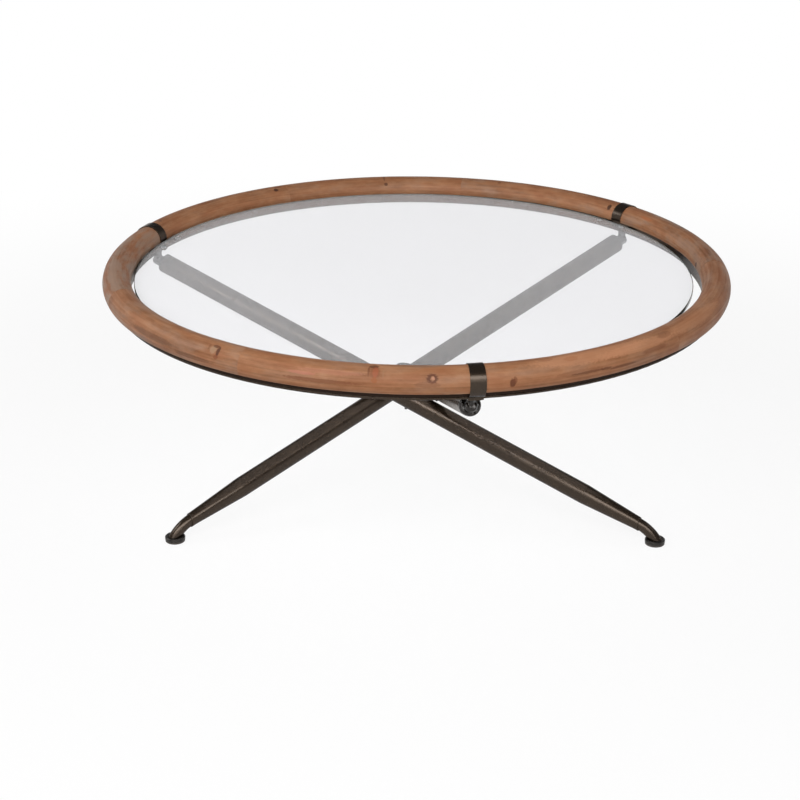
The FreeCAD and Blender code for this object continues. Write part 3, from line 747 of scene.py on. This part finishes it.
class TABLE_OT_legs(bpy.types.Operator):
    """Finish the tubes with their caps, hangers and necks"""
    bl_idname = "table.legs"
    bl_label = "Legs"

    def execute(self, context):
        dress(numbered("leg_tube") + numbered("leg_neck"), once("dark_bronze", bronze))
        dress(numbered("leg_cap") + numbered("leg_hanger"), once("cast_bronze", cast_bronze))
        return {"FINISHED"}


class TABLE_OT_hub(bpy.types.Operator):
    """Finish the plate and sleeves that tie the legs"""
    bl_idname = "table.hub"
    bl_label = "Hub"

    def execute(self, context):
        dress(["hub_plate"] + numbered("hub_spacer"), once("dark_bronze", bronze))
        return {"FINISHED"}


def threaded_rod_tree():
    """A rod whose side rises and falls in a right-handed thread."""
    tree, marks = new_tree("Threaded rod", [
        ("Middle", "Vector"), ("Radius", "Float"), ("Length", "Float"), ("Pitch", "Float"),
        ("Depth", "Float"), ("Around", "Int"), ("Rows", "Int"), ("Material", "Material")])
    w = Wiring(tree)
    given = w.node("NodeGroupInput").outputs
    rod = w.node("GeometryNodeMeshCylinder", {
        "Vertices": given["Around"], "Side Segments": given["Rows"], "Radius": given["Radius"],
        "Depth": given["Length"]})
    x, y, z = w.split(w.node("GeometryNodeInputPosition").outputs["Position"])
    turn = w.calc("DIVIDE", w.calc("ARCTAN2", y, x), math.tau)
    phase = w.calc("FRACT", w.calc("SUBTRACT", w.calc("DIVIDE", z, given["Pitch"]), turn))
    groove = w.calc("ABSOLUTE", w.calc("SUBTRACT", w.calc("MULTIPLY", phase, 2), 1))
    end = w.calc("SUBTRACT", w.calc("MULTIPLY", given["Length"], 0.5), w.calc("ABSOLUTE", z))
    point = w.span(end, given["Pitch"], 0.0, 0.0, 1.0)
    sunk = w.calc("MULTIPLY", w.calc("MAXIMUM", w.span(groove, 0.15, 0.85), point), given["Depth"])
    left = w.calc("SUBTRACT", 1, w.calc("DIVIDE", sunk, given["Radius"]))
    shaped = w.node("GeometryNodeSetPosition", {
        "Geometry": rod.outputs["Mesh"],
        "Position": w.join(w.calc("MULTIPLY", x, left), w.calc("MULTIPLY", y, left), z),
        "Offset": given["Middle"]})
    real = w.node("GeometryNodeRealizeInstances", {"Geometry": shaped.outputs["Geometry"]})
    dressed = w.node("GeometryNodeSetMaterial", {"Geometry": real.outputs["Geometry"],
                                                 "Material": given["Material"]})
    w.node("NodeGroupOutput", {"Geometry": dressed.outputs["Geometry"]})
    return tree, marks


class TABLE_OT_levelling_feet(bpy.types.Operator):
    """Finish the levelling feet and cut their threads"""
    bl_idname = "table.levelling_feet"
    bl_label = "Levelling feet"

    def execute(self, context):
        settings = context.scene.table_feet
        steel = once("black_steel", blackened_steel)
        dress(numbered("foot_cup"), steel)
        dress(numbered("foot_glide"), once("dark_glide", glide_plastic))
        tree, marks = threaded_rod_tree()
        thread_sharp = 60
        for number, stud in enumerate(numbered("foot_stud")):
            low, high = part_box(stud)
            piece = new_piece("threaded_stud_%d" % (number + 1), bpy.data.meshes.new("rod"))
            height = high[2] - low[2]
            grow(piece, tree, marks, {
                "Middle": [(first + last) / 2 for first, last in zip(low, high)],
                "Radius": (high[0] - low[0]) / 2, "Length": height, "Pitch": settings.pitch,
                "Depth": settings.thread_depth, "Around": settings.around,
                "Rows": round(height / settings.pitch * settings.rows), "Material": steel}, thread_sharp)
            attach(piece, "stud_%d" % (number + 1))
            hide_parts(stud)
        return {"FINISHED"}


# Lamps, each with its place, width and height in metres and its power in watts
lamps = (
    ("key", (-0.4, -2.7, 2.35), 4.4, 1.3, 104),
    ("low", (-0.2, -3.5, 1.35), 4.0, 0.32, 15),
    ("left", (-3.0, 0.2, 2.2), 1.2, 1.2, 24),
    ("right", (3.0, 0.6, 2.4), 1.2, 1.2, 5),
)
lamp_aim = (0, 0, 0.3)

# The camera's place, how far it is tilted up from looking straight down, and how far it is rolled
camera_place = (-0.02757, -3.21992, 1.49206)
camera_tilt = 67.64
camera_roll = 0.35
sensor_width = 36


def soft_lamp(name, place, width, height, power):
    """A soft rectangular lamp that is turned to the table."""
    lamp = bpy.data.lights.new(name, "AREA")
    lamp.shape = "RECTANGLE"
    lamp.size = width
    lamp.size_y = height
    lamp.energy = power
    lamp_object = bpy.data.objects.new(name, lamp)
    lamp_object.location = place
    towards = Vector(lamp_aim) - Vector(place)
    lamp_object.rotation_euler = towards.to_track_quat("-Z", "Y").to_euler()
    bpy.context.scene.collection.objects.link(lamp_object)


def studio_floor(name):
    """Pale floor. A camera, mirror or glass sees it nearly white, and it keeps the table's shadow."""
    settings = bpy.context.scene.table_stage
    material, w, shader = new_material(name)
    _, seen = looks(w)
    w.put(shader.inputs["Base Color"], w.mix(seen, settings.floor, settings.floor_seen))
    shader.inputs["Roughness"].default_value = 0.9
    shader.inputs["Specular IOR Level"].default_value = 0.0
    place = w.node("ShaderNodeTexCoord").outputs["Object"]
    plain = w.span(w.vector("LENGTH", place), 0.9, 2.2, 0.87, 1.0, smooth=True)
    blank = w.node("ShaderNodeEmission", {"Color": white, "Strength": 1.0})
    cover(w, w.blend(w.calc("MULTIPLY", seen, plain), shader.outputs["BSDF"], blank.outputs["Emission"]))
    return material


def studio_world(name):
    """Soft light from all sides. What looks sees white, but a mirror sees a dim ceiling overhead."""
    settings = bpy.context.scene.table_stage
    world = bpy.data.worlds.new(name)
    world.use_nodes = True
    world.node_tree.nodes.clear()
    w = Wiring(world.node_tree)
    straight, seen = looks(w)
    soft = w.node("ShaderNodeBackground", {"Color": white, "Strength": settings.fill})
    rise = w.split(w.node("ShaderNodeTexCoord").outputs["Generated"])["Z"]
    ceiling = w.span(rise, 0.02, 0.40, 1.0, settings.ceiling, smooth=True)
    plain = w.node("ShaderNodeBackground", {
        "Color": white, "Strength": w.calc("MAXIMUM", straight, ceiling)})
    both = w.blend(seen, soft.outputs["Background"], plain.outputs["Background"])
    w.node("ShaderNodeOutputWorld", {"Surface": both})
    return world


class TABLE_OT_stage(bpy.types.Operator):
    """Set the floor, the lamps, the world and the camera"""
    bl_idname = "table.stage"
    bl_label = "Stage"

    def execute(self, context):
        settings = context.scene.table_stage
        half = settings.floor_size / 2
        mesh = bpy.data.meshes.new("floor")
        mesh.from_pydata([(-half, -half, 0), (half, -half, 0), (half, half, 0), (-half, half, 0)], [],
                         [(0, 1, 2, 3)])
        mesh.materials.append(once("pale_floor", studio_floor))
        new_piece("floor", mesh)

        context.scene.world = studio_world("studio")
        for name, place, width, height, power in lamps:
            soft_lamp(name, place, width, height, power)

        camera = bpy.data.cameras.new("camera")
        camera.lens = settings.lens
        camera.sensor_width = sensor_width
        camera_object = bpy.data.objects.new("camera", camera)
        tilt = Matrix.Rotation(math.radians(camera_tilt), 4, "X")
        roll = Matrix.Rotation(math.radians(camera_roll), 4, "Z")
        camera_object.matrix_world = Matrix.Translation(camera_place) @ tilt @ roll
        context.scene.collection.objects.link(camera_object)
        context.scene.camera = camera_object
        context.scene.view_settings.view_transform = "Standard"
        return {"FINISHED"}


class TABLE_PT_panel(bpy.types.Panel):
    """The table's pieces"""
    bl_idname = "TABLE_PT_panel"
    bl_label = "Round coffee table"
    bl_space_type = "VIEW_3D"
    bl_region_type = "UI"
    bl_category = "Table"

    def draw(self, context):
        for operator in operators:
            self.layout.operator(operator.bl_idname)
        for name in setting_groups:
            box = self.layout.box()
            for key in setting_groups[name].__annotations__:
                box.prop(getattr(context.scene, name), key)


operators = (TABLE_OT_wooden_ring, TABLE_OT_hoop_and_straps, TABLE_OT_screws, TABLE_OT_glass,
             TABLE_OT_legs, TABLE_OT_hub, TABLE_OT_levelling_feet, TABLE_OT_stage)
setting_groups = {"table_ring": RingSettings, "table_metal": MetalSettings,
                  "table_glass": GlassSettings, "table_feet": FootSettings,
                  "table_stage": StageSettings}
classes = (*setting_groups.values(), *operators, TABLE_PT_panel)


def register():
    for item in classes:
        bpy.utils.register_class(item)
    for name, group in setting_groups.items():
        setattr(bpy.types.Scene, name, bpy.props.PointerProperty(type=group))


def unregister():
    for name in setting_groups:
        delattr(bpy.types.Scene, name)
    for item in reversed(classes):
        bpy.utils.unregister_class(item)


def main():
    register()
    bpy.ops.table.wooden_ring()
    bpy.ops.table.hoop_and_straps()
    bpy.ops.table.screws()
    bpy.ops.table.glass()
    bpy.ops.table.legs()
    bpy.ops.table.hub()
    bpy.ops.table.levelling_feet()
    bpy.ops.table.stage()


if __name__ == "__main__":
    main()
